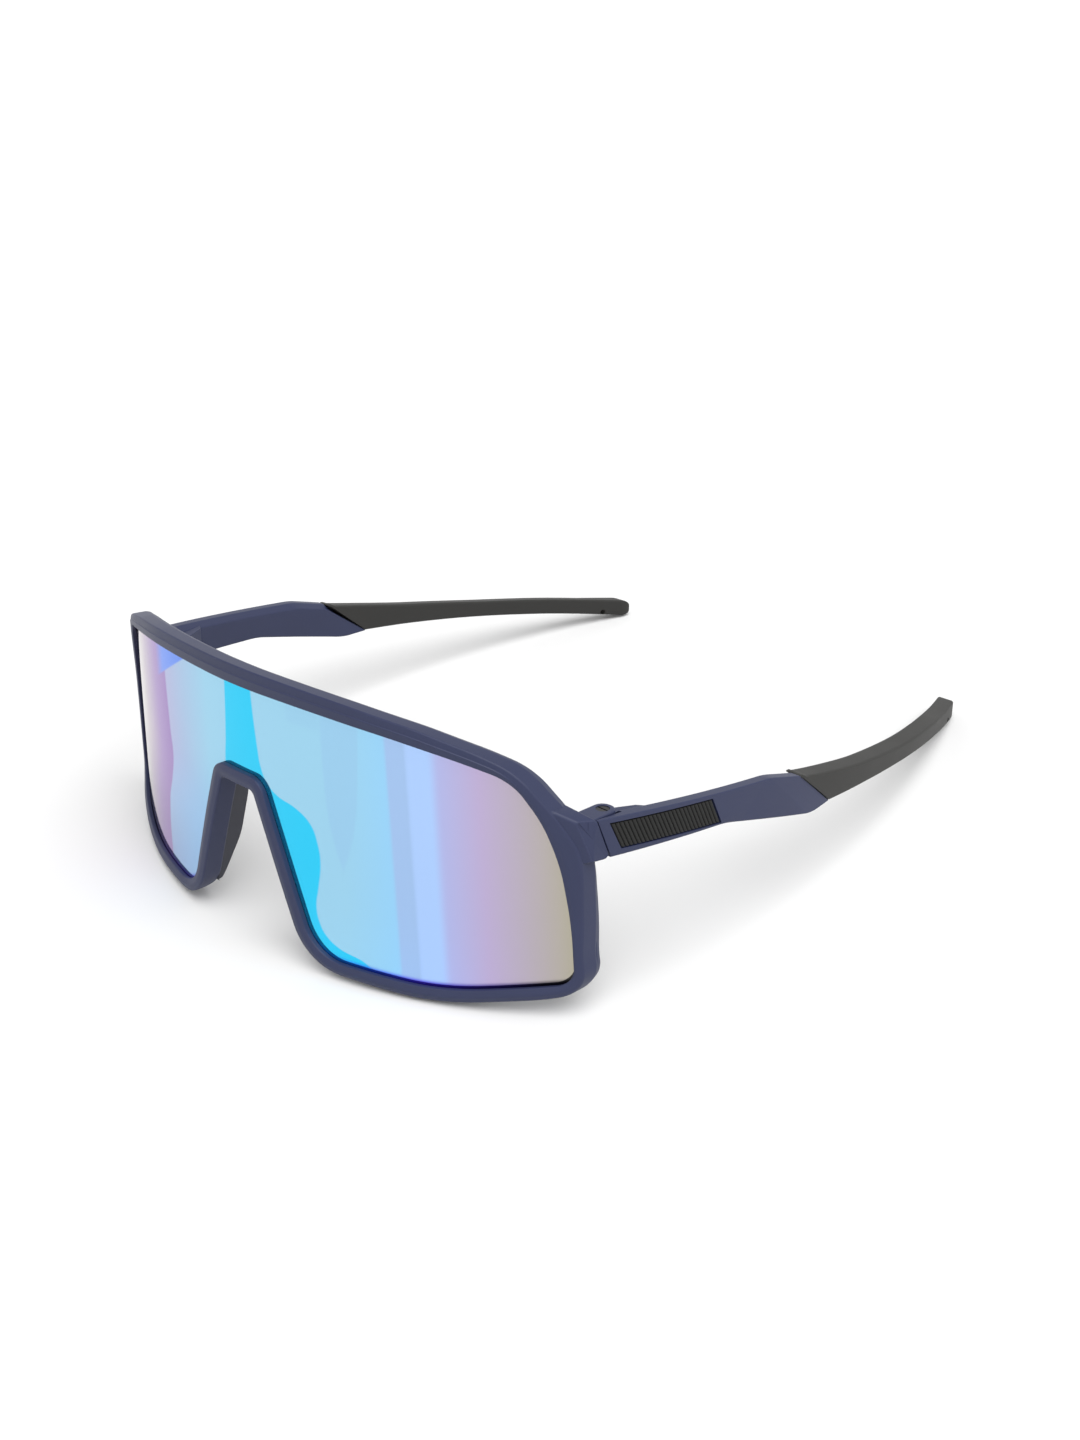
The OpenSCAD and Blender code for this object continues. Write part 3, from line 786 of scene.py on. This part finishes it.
def lug(levels):
    """A hinge lug: a slab that ends in a half circle about the hinge axis."""
    x, y = HINGE_WORN[:2]
    r = LUG_RADIUS
    corners = [(x - r, 22.6), (x + r, 22.6), (x + r, y + r), (x - r, y + r)]
    return slab(corners, [0, 0, r * 0.999, r * 0.999], *levels, 0.25)


class SUNGLASSES_OT_front(bpy.types.Operator):
    """Build the rim with its end pieces and hinge lugs as one moulding"""
    bl_idname = "sunglasses.front"
    bl_label = "Front"

    def execute(self, context):
        """Join the end pieces and lugs to the rim, then bore the lugs and sink the screw heads."""
        front = mesh_object("front_shell", rim_surface())
        steps = []
        for _, sign in SIDES:
            steps.append(("UNION", mirrored(end_piece(), sign)))
            steps += [("UNION", mirrored(lug(levels), sign)) for levels in (UPPER_LUG, LOWER_LUG)]
            bore = rod(HINGE_WORN, 2, BORE_RADIUS, LUG_FOOT - 1, LUG_TOP + 1)
            head = rod(HINGE_WORN, 2, SCREW_HEAD_RADIUS, LUG_TOP - SCREW_HEAD_DEPTH, LUG_TOP + 1)
            steps += [("DIFFERENCE", mirrored(cut, sign)) for cut in (bore, head)]
        carved(front, steps)
        dressed(front, finish("navy_nylon"), "front", "front_frame")
        return {"FINISHED"}


# ---- the lens --------------------------------------------------------------------------------

def heights_along(edge, x):
    """The heights of an edge of the lens at places x across it."""
    order = np.argsort(edge[:, 0], kind="stable")
    return np.interp(x, edge[order, 0], edge[order, 1])


def lens_face(bite, columns=361, rows=25):
    """Columns of constant x from the lens's lower edge to its upper edge: x, z and height over the edge.

    The columns stand closer together toward the two ends, as a sine.
    """
    outline, normal, _, _ = traced(whole_opening(), 0.4)
    edge = outline + normal * bite
    right, left = edge[:, 0].argmax(), edge[:, 0].argmin()
    upper = np.roll(edge, -left, 0)[:(right - left) % len(edge) + 1]
    lower = np.roll(edge, -right, 0)[:(left - right) % len(edge) + 1]
    x = edge[:, 0].max() * 0.9999 * np.sin(np.linspace(-math.pi / 2, math.pi / 2, columns))
    top, bottom = heights_along(upper, x)[:, None], heights_along(lower, x)[:, None]
    z = bottom + (top - bottom) * np.linspace(0, 1, rows)
    return np.repeat(x[:, None], rows, 1), z, z - bottom


class SUNGLASSES_OT_lens(bpy.types.Operator):
    """Build the shield lens, with its mirror coating and its painted reflections in front and a smoke tint
    behind
    """
    bl_idname = "sunglasses.lens"
    bl_label = "Lens"

    def execute(self, context):
        """The face's columns run up the front and down the back; faces that look back get the tint."""
        sizes = context.scene.sunglasses_lens
        x, z, above = lens_face(sizes.bite)
        front = on_lens_arc(x, z, 0.0, sizes.radius)
        back = on_lens_arc(x, z, -sizes.thickness, sizes.radius)[:, ::-1]
        lens = mesh_object("mirror_lens", lofted(np.concatenate([front, back], 1)))
        dressed(lens, finish("coating_with_painted_reflections"), "front", "shield_lens")
        lens.data.materials.append(finish("smoke_back"))
        for name, height, span in (("face", z, SPAN_Z), ("rise", above, SPAN_RISE)):
            places = np.stack([share_of(x, SPAN_X), share_of(height, span)], -1)
            add_uv(lens, name, np.concatenate([places, places[:, ::-1]], 1))
        normals = np.zeros(len(lens.data.polygons) * 3)
        lens.data.polygons.foreach_get("normal", normals)
        behind = (normals.reshape(-1, 3)[:, 1] > 0.2).astype(np.int32)
        lens.data.polygons.foreach_set("material_index", behind)
        return {"FINISHED"}


# ---- the nose pads ---------------------------------------------------------------------------

def pad_surface():
    """A pad behind the nose leg: at each height a rounded section from the rim back to the nose."""
    radius = bpy.context.scene.sunglasses_lens.radius
    z = np.linspace(-35.6, -8.2, 70)
    nose_x = softened(z, [-38.5, -16.4, -7], [16.5, 8.15, 5.0], 1.5)
    rim_back = radius - np.sqrt((radius - 3.0) ** 2 - (nose_x + 1.2) ** 2)
    back = softened(z, [-38.6, -35, -26, -14, -8.2], [3.2, 6.2, 9.2, 8.6, 5.6], 2.0)
    lean = 0.3 * (back - rim_back)
    thick = 2.3
    corners = np.stack([
        np.stack([nose_x + 0.15, rim_back - 0.3, z], 1),
        np.stack([nose_x + 0.15 + lean, back, z], 1),
        np.stack([nose_x + thick + lean * 1.15, back - 0.3, z], 1),
        np.stack([nose_x + thick + 0.1, rim_back - 0.3, z], 1),
    ], 1)
    return lofted(round_ended(filleted(corners, [0.2, 0.8, 0.8, 0.2], 5), 0.7, 0.7))


class SUNGLASSES_OT_nose_pads(bpy.types.Operator):
    """Build the two soft pads behind the nose legs"""
    bl_idname = "sunglasses.nose_pads"
    bl_label = "Nose pads"

    def execute(self, context):
        """Make one pad for each side."""
        for side, sign in SIDES:
            pad = mesh_object(f"soft_pad_{side}", mirrored(pad_surface(), sign))
            dressed(pad, finish("soft_pad"), "front", f"nose_pad_{side}", 50)
        return {"FINISHED"}


# ---- the temples -----------------------------------------------------------------------------

COVER_X = HINGE_WORN[0] + LUG_RADIUS + 0.15
ROOT_Y = HINGE_WORN[1] + LUG_RADIUS + 0.3
TOP_LINE = ([24.3, 34, 66.5, 75.5], [-1.1, -1.95, -5.1, -7.55])
FOOT_LINE = ([27.4, 54.3, 80, 86.5], [-8.9, -10.35, -16.6, -16.4])
# The bevel along the inner edge of the top: how wide the top is left, and how far the bevel falls
TOP_WIDTH, BEVEL_FALL = 2.1, 1.1


def temple_x(y, inward=0.0):
    """The temple's outer face seen from above, or a face that lies inward of it: an arc about one axis."""
    sizes = bpy.context.scene.sunglasses_temple
    axis = sizes.half_width - sizes.radius
    return axis + np.sqrt((sizes.radius - inward) ** 2 - (y - sizes.widest) ** 2)


# Key stations of the arm: y at the top, y at the foot, and how far the foot bulges out
ARM_STATIONS = [
    (24.3, 27.4, 0), (50, 52.6, 0), (64.7, 58.2, 0), (66.5, 78, 0.5), (75.45, 86.45, 0),
]


def arm_surface():
    """The arm as slanted sections: each is a four-sided bar whose outer face may lean out at its foot."""
    thick = bpy.context.scene.sunglasses_temple.thickness
    top_y, foot_y, bulge = divided(ARM_STATIONS, 0.7).T
    top = softened(top_y, *TOP_LINE, 1.5)
    foot = softened(foot_y, *FOOT_LINE, 2.0)
    share = np.linspace(0, 1, 6)
    y = foot_y[:, None] + (top_y - foot_y)[:, None] * share
    z = foot[:, None] + (top - foot)[:, None] * share
    bevelled = foot[:, None] + (top - BEVEL_FALL - foot)[:, None] * share
    outer = np.stack([temple_x(y) + bulge[:, None] * (1 - share), y, z], -1)
    ridge = np.stack([temple_x(top_y, TOP_WIDTH), top_y, top], -1)[:, None]
    inner = np.stack([temple_x(y, thick), y, bevelled], -1)[:, ::-1]
    corners = np.concatenate([outer, ridge, inner], 1)
    radii = np.zeros(13)
    radii[[0, 5, 6, 7, 12]] = [0.45, 0.3, 0.6, 0.6, 0.45]
    return lofted(round_ended(filleted(corners, radii, 3), 0.15, 0.2))


def box(low, high):
    """A plain box between two corners."""
    (x0, y0, z0), (x1, y1, z1) = low, high
    ring = np.array([(x0, y0), (x1, y0), (x1, y1), (x0, y1)])
    loops = np.stack([np.column_stack([ring, np.full(4, z)]) for z in (z0, z1)])
    return lofted(loops)


def middle_lug():
    """The temple's own hinge lug and the boss that carries it."""
    x, y = HINGE_WORN[:2]
    r = LUG_RADIUS
    inside = COVER_X + 0.6
    corners = [
        (x - r, y - r), (x + r, y - r), (x + r, y + 1), (inside, ROOT_Y + 0.6), (inside, ROOT_Y + 8),
        (x, ROOT_Y + 6), (x - r, ROOT_Y + 2),
    ]
    return slab(corners, [r * 0.999, r * 0.999, 0, 0, 0, 0, 0], *MIDDLE_LUG, 0.15)


# The inlay as worn: its front upper corner, its length and height, and the two slants
INLAY_START = np.array([27.2, -2.5])
INLAY_LENGTH, INLAY_HEIGHT = 23.2, 5.6
INLAY_RUN = np.array([math.cos(math.radians(5)), -math.sin(math.radians(5))])
INLAY_DROP = INLAY_HEIGHT * np.array([0.43, -0.9])
POCKET_DEPTH = 0.5


def inlay_grid(length, margin):
    """Points (y, z) of the inlay's two long edges at distances along it, widened by a margin."""
    down = INLAY_DROP / np.linalg.norm(INLAY_DROP)
    upper = INLAY_START + length[:, None] * INLAY_RUN - margin * down
    return upper, upper + INLAY_DROP + 2 * margin * down


def inlay_solid(length, depth, floor, margin):
    """A slanted plate in the temple's outer face, between a depth that may vary along it and a floor."""
    upper, lower = inlay_grid(length, margin)
    share = np.linspace(0, 1, 4)
    y = upper[:, :1] + (lower - upper)[:, :1] * share
    z = upper[:, 1:] + (lower - upper)[:, 1:] * share
    outer = np.stack([temple_x(y) - depth[:, None], y, z], -1)
    inner = np.stack([temple_x(y, floor), y, z], -1)[:, ::-1]
    return np.concatenate([outer, inner], 1)


class SUNGLASSES_OT_arms(bpy.types.Operator):
    """Build the two rigid temple arms, with their hinge lugs and inlay pockets"""
    bl_idname = "sunglasses.arms"
    bl_label = "Arms"

    def execute(self, context):
        """Clear the hinge, join the middle lug, bore it and cut the pocket, once for each side."""
        margin = 0.25
        length = np.linspace(-margin, INLAY_LENGTH + margin, 30)
        pocket = lofted(inlay_solid(length, np.full(len(length), -1.0), POCKET_DEPTH, margin))
        room = box((40, 15, -20), (COVER_X, ROOT_Y, 10))
        bore = rod(HINGE_WORN, 2, BORE_RADIUS, LUG_FOOT - 1, LUG_TOP + 1)
        steps = [("DIFFERENCE", room), ("UNION", middle_lug()), ("DIFFERENCE", bore), ("DIFFERENCE", pocket)]
        for side, sign in SIDES:
            arm = mesh_object(f"arm_{side}", mirrored(arm_surface(), sign))
            carved(arm, [(operation, mirrored(surface, sign)) for operation, surface in steps])
            dressed(arm, finish("navy_nylon"), f"{side}_temple", f"temple_arm_{side}", 22)
        return {"FINISHED"}


class SUNGLASSES_OT_inlays(bpy.types.Operator):
    """Build the two ribbed grip inlays"""
    bl_idname = "sunglasses.inlays"
    bl_label = "Inlays"

    def execute(self, context):
        """The outer face's depth is a row of round-topped ribs with narrow grooves between them."""
        ribs = context.scene.sunglasses_temple.ribs
        per_rib = 14
        length = np.linspace(0, INLAY_LENGTH, ribs * per_rib + 1)
        phase = (length / INLAY_LENGTH * ribs) % 1
        crown = np.clip(np.abs(np.sin(math.pi * phase)), 0, 1) ** 0.45
        depth = 0.42 - 0.4 * crown
        loops = inlay_solid(length, depth, POCKET_DEPTH - 0.01, -0.05)
        for side, sign in SIDES:
            inlay = mesh_object(f"ribbed_inlay_{side}", mirrored(lofted(loops), sign))
            dressed(inlay, finish("ribbed_grip"), f"{side}_temple", f"grip_inlay_{side}", 60)
        return {"FINISHED"}


# ---- the tips --------------------------------------------------------------------------------

TIP_END = 162.7
TIP_STATIONS = [(75.55, 86.55), (77.2, 87.8), (100, 106), (130, 132), (150, 150.5)]
TIP_TOP = ([75.5, 80, 98, 120, 140.5, 163], [-7.5, -8.5, -12.0, -15.5, -18.3, -21.8])
TIP_FOOT = ([86.5, 105, 120, 141, 163], [-16.35, -17.9, -19.5, -22.3, -26.0])
CORD_HOLE = np.array([0, 154.6, -23.905])
CORD_HOLE_RADIUS = 0.7


def tip_surface():
    """The soft tip: a bar round the temple whose section shrinks to a round end along a quarter circle."""
    thick = bpy.context.scene.sunglasses_temple.thickness
    swell, nose = 0.3, 3.0
    keys = divided(TIP_STATIONS, 1.2)
    angle = np.linspace(0, math.pi / 2 * 0.95, 14)
    straight = divided([TIP_STATIONS[-1], (TIP_END - nose, TIP_END - nose)], 1.2)[1:]
    end = TIP_END - nose + nose * np.sin(angle)[1:, None] * np.ones(2)
    top_y, foot_y = np.concatenate([keys, straight, end]).T
    fullness = np.ones(len(top_y))
    fullness[-len(end):] = np.cos(angle[1:])
    top, foot = softened(top_y, *TIP_TOP, 3), softened(foot_y, *TIP_FOOT, 8)
    collar = 0.35 * np.clip(1 - np.abs(top_y - 76.2) / 0.75, 0, 1)
    top = top + collar
    middle, half = (top + foot) / 2, (top - foot) / 2 * fullness
    top, foot = middle + half, middle - half
    share = np.linspace(0, 1, 5)
    y = foot_y[:, None] + (top_y - foot_y)[:, None] * share
    z = foot[:, None] + (top - foot)[:, None] * share
    centre = thick / 2
    reach = (centre + swell) * (0.2 + 0.8 * fullness)[:, None]
    drop = np.interp(top_y, [75.5, 90, 150, TIP_END], [0.2, 0.4, 0.4, 0])[:, None] * fullness[:, None]
    outer = np.stack([temple_x(y, centre) + reach, y, z - drop * share], -1)
    inner = np.stack([temple_x(y, centre) - reach, y, z], -1)[:, ::-1]
    corners = np.concatenate([outer, inner], 1)
    radii = np.zeros((len(top_y), 10))
    radii[:, [0, 4, 5, 9]] = [1.2, 0.7, 1.1, 1.2]
    return lofted(round_ended(filleted(corners, radii, 4), 0.2, 0))


class SUNGLASSES_OT_tips(bpy.types.Operator):
    """Build the two soft tips, each with its small cord hole"""
    bl_idname = "sunglasses.tips"
    bl_label = "Tips"

    def execute(self, context):
        """Make each tip and drill its cord hole."""
        hole = rod(CORD_HOLE, 0, CORD_HOLE_RADIUS, 30, 80, 24)
        for side, sign in SIDES:
            tip = mesh_object(f"soft_tip_{side}", mirrored(tip_surface(), sign))
            carved(tip, [("DIFFERENCE", mirrored(hole, sign))])
            dressed(tip, finish("soft_tip"), f"{side}_temple", f"temple_tip_{side}", 40)
        return {"FINISHED"}


# ---- the hinge hardware ----------------------------------------------------------------------

class SUNGLASSES_OT_hardware(bpy.types.Operator):
    """Give the hinge screws and their threaded bushes a metal finish"""
    bl_idname = "sunglasses.hardware"
    bl_label = "Hinge hardware"

    def execute(self, context):
        """Finish the model's own screws and bushes."""
        for side, _ in SIDES:
            for node, name in (("hinge_screw", "turned_steel"), ("hinge_insert", "turned_brass")):
                piece = frame["nodes"][f"{node}_{side}"]
                piece.data.materials.clear()
                piece.data.materials.append(finish(name))
        return {"FINISHED"}


# ---- the studio ------------------------------------------------------------------------------

class SUNGLASSES_OT_studio(bpy.types.Operator):
    """Lay a pale floor, hang soft lights and set the camera"""
    bl_idname = "sunglasses.studio"
    bl_label = "Studio"

    def execute(self, context):
        """Lay the floor, then light it, then aim the camera."""
        scene = context.scene
        scene.view_settings.view_transform = "Standard"
        self.lay_floor(scene)
        self.light(scene)
        self.aim_camera(scene)
        return {"FINISHED"}

    def lay_floor(self, scene):
        """One wide square at height 0, in a pale matt finish."""
        mesh = bpy.data.meshes.new("floor")
        half = 12.0
        corners = [(-half, -half, 0), (half, -half, 0), (half, half, 0), (-half, half, 0)]
        mesh.from_pydata(corners, [], [(0, 1, 2, 3)])
        floor = bpy.data.objects.new("floor", mesh)
        scene.collection.objects.link(floor)
        material = bpy.data.materials.new("pale_floor")
        material.use_nodes = True
        surface = material.node_tree.nodes["Principled BSDF"]
        surface.inputs["Base Color"].default_value = (0.72, 0.72, 0.72, 1)
        surface.inputs["Roughness"].default_value = 0.9
        surface.inputs["Specular IOR Level"].default_value = 0.1
        mesh.materials.append(material)

    def light(self, scene):
        """A white surround that dims overhead, and one broad soft lamp."""
        world = bpy.data.worlds.new("studio")
        scene.world = world
        world.use_nodes = True
        paint = Painter(world.node_tree)
        place, parts = paint.nodes.new("ShaderNodeTexCoord"), paint.nodes.new("ShaderNodeSeparateXYZ")
        paint.links.new(place.outputs["Generated"], parts.inputs["Vector"])
        sky = paint.step(parts.outputs["Z"], 0.5, 0.85, 1.0, 0.35)
        paint.links.new(sky, paint.nodes["Background"].inputs["Strength"])
        paint.nodes["Background"].inputs["Color"].default_value = (1, 1, 1, 1)
        lamp = bpy.data.lights.new("softbox", "SUN")
        lamp.energy = 3.0
        lamp.angle = math.radians(55)
        light = bpy.data.objects.new("softbox", lamp)
        light.rotation_euler = (math.radians(8), math.radians(24), 0)
        scene.collection.objects.link(light)

    def aim_camera(self, scene):
        """The camera turns about the worn upright, rises, rolls and stands off; then it is settled."""
        view = scene.sunglasses_studio
        turn, rise, roll = view.turn, view.rise, view.roll
        back = np.array([math.sin(turn) * math.cos(rise), -math.cos(turn) * math.cos(rise), math.sin(rise)])
        right = np.array([math.cos(turn), math.sin(turn), 0])
        axes = np.array([right, np.cross(back, right), back])
        c, s = math.cos(roll), math.sin(roll)
        axes = np.array([[c, s, 0], [-s, c, 0], [0, 0, 1]]) @ axes
        place = np.array([view.aside, view.above, view.distance]) @ axes
        matrix = np.eye(4)
        matrix[:3, :3] = SETTLE @ axes.T
        matrix[:3, 3] = settled(place)
        data = bpy.data.cameras.new("camera")
        data.lens = view.lens
        data.sensor_width = 36
        data.clip_start = 0.01
        camera = bpy.data.objects.new("camera", data)
        scene.collection.objects.link(camera)
        camera.matrix_world = [list(column) for column in matrix.T]
        scene.camera = camera


class SUNGLASSES_PT_panel(bpy.types.Panel):
    """Lists the sizes, the finishes and the pieces to build"""
    bl_label = "Sunglasses"
    bl_idname = "SUNGLASSES_PT_panel"
    bl_space_type = "VIEW_3D"
    bl_region_type = "UI"
    bl_category = "Sunglasses"

    def draw(self, context):
        """Each group of settings in its own box, then a button for each operator."""
        for name in SETTINGS:
            group = getattr(context.scene, name)
            box_ui = self.layout.box()
            for key in group.bl_rna.properties.keys():
                if key not in {"rna_type", "name"}:
                    box_ui.prop(group, key)
        for operator in BUILD_ORDER:
            self.layout.operator(operator.bl_idname)


SETTINGS = {
    "sunglasses_lens": LensSizes,
    "sunglasses_rim": RimSizes,
    "sunglasses_temple": TempleSizes,
    "sunglasses_finishes": Finishes,
    "sunglasses_studio": StudioSettings,
}
BUILD_ORDER = [
    SUNGLASSES_OT_studio,
    SUNGLASSES_OT_front,
    SUNGLASSES_OT_lens,
    SUNGLASSES_OT_nose_pads,
    SUNGLASSES_OT_arms,
    SUNGLASSES_OT_inlays,
    SUNGLASSES_OT_tips,
    SUNGLASSES_OT_hardware,
]


def register():
    """Register the classes and hang the settings on the scene."""
    for cls in (*SETTINGS.values(), *BUILD_ORDER, SUNGLASSES_PT_panel):
        bpy.utils.register_class(cls)
    for name, cls in SETTINGS.items():
        setattr(bpy.types.Scene, name, PointerProperty(type=cls))


def unregister():
    """Take the settings and the classes away again."""
    for name in SETTINGS:
        delattr(bpy.types.Scene, name)
    for cls in (SUNGLASSES_PT_panel, *BUILD_ORDER[::-1], *list(SETTINGS.values())[::-1]):
        bpy.utils.unregister_class(cls)


def main():
    """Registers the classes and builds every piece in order."""
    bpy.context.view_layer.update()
    register()
    for operator in BUILD_ORDER:
        category, name = operator.bl_idname.split(".")
        getattr(getattr(bpy.ops, category), name)()


if __name__ == "__main__":
    main()
